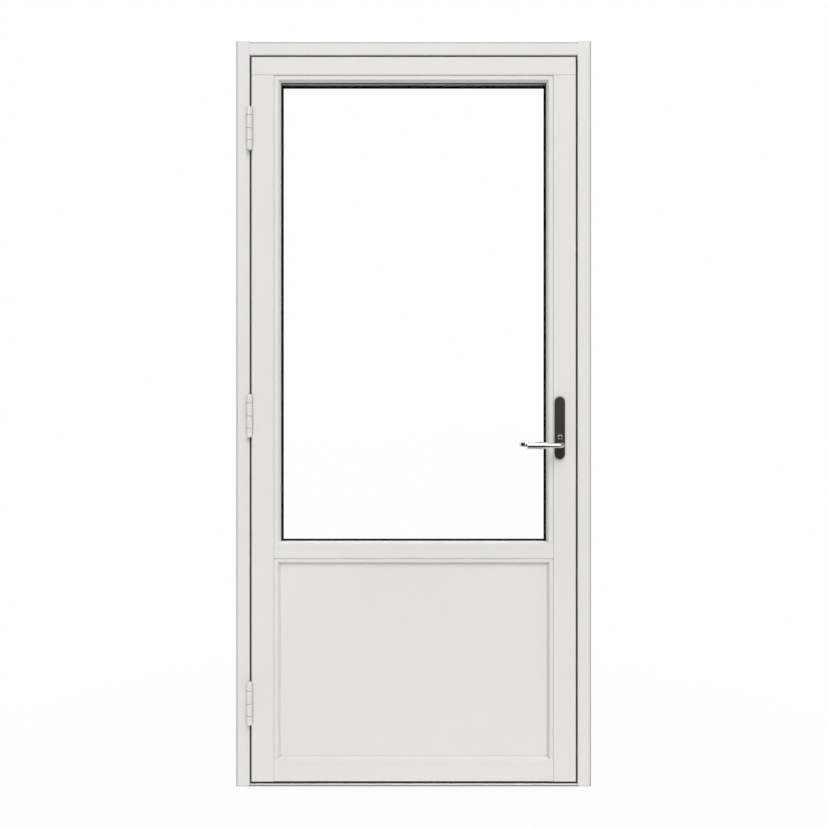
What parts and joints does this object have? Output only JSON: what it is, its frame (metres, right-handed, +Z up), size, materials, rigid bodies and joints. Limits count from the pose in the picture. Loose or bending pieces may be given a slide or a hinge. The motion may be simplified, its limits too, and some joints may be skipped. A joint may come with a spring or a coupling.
{
  "type": "glazed terrace door set",
  "caption": "Glazed terrace door with a solid lower panel, hung on barrel hinges in a rebated wooden frame, with a lever handle on a long plate.",
  "frame": {"origin": "middle of the threshold's underside, midway through the frame's depth", "axes": "+X to the right and +Y into the wall as seen from the room, +Z up"},
  "size_m": [0.99, 0.1706, 2.08],
  "materials": {
    "white_paint": "opaque white paint on smooth wood, satin",
    "hinge_white": "white powder coat",
    "clear_glass": "clear float glass",
    "spacer_grey": "satin grey edge spacer",
    "spacer_black": "matt black edge spacer",
    "black_rubber": "matt black glazing seal",
    "grey_seal": "dark grey foam weather seal",
    "threshold_metal": "natural anodised, satin",
    "lock_steel": "zinc plated steel",
    "plate_dark": "dark grey, satin",
    "lever_chrome": "polished chrome"
  },
  "bodies": {
    "frame": {"hinge_jamb": "white_paint", "latch_jamb": "white_paint", "frame_head": "white_paint", "threshold": "threshold_metal", "frame_seal": "grey_seal", "hinge_frame_half_bottom": "hinge_white", "strike_plate_bottom": "lock_steel", "hinge_frame_half_middle": "hinge_white", "strike_plate_middle": "lock_steel", "hinge_frame_half_top": "hinge_white", "strike_plate_top": "lock_steel"},
    "leaf": {"hinge_stile": "white_paint", "latch_stile": "white_paint", "top_rail": "white_paint", "lock_rail": "white_paint", "bottom_rail": "white_paint", "glass_bead_left": "white_paint", "glass_bead_right": "white_paint", "glass_bead_top": "white_paint", "glass_bead_bottom": "white_paint", "panel_bead_left": "white_paint", "panel_bead_right": "white_paint", "panel_bead_top": "white_paint", "panel_bead_bottom": "white_paint", "lower_panel": "white_paint", "pane_inner": "clear_glass", "pane_middle": "clear_glass", "pane_outer": "clear_glass", "spacer_inner": "spacer_grey", "spacer_outer": "spacer_black", "glass_seal_inner": "black_rubber", "glass_seal_outer": "black_rubber", "lock_faceplate": "lock_steel", "handle_plate": "plate_dark", "drip_rail": "threshold_metal", "hinge_leaf_half_bottom": "hinge_white", "hinge_leaf_half_middle": "hinge_white", "hinge_leaf_half_top": "hinge_white"},
    "handle": {"lever": "lever_chrome"}
  },
  "joints": [
    {"name": "leaf_swing", "type": "hinge", "parent": "frame", "child": "leaf", "pos_m": [-0.457, -0.0665, 1.034], "axis": [0, 0, -1], "range_deg": [0, 120]},
    {"name": "lever_turn", "type": "hinge", "parent": "leaf", "child": "handle", "pos_m": [0.4075, -0.0575, 0.953], "axis": [0, -1, 0], "range_deg": [0, 90]}
  ]
}
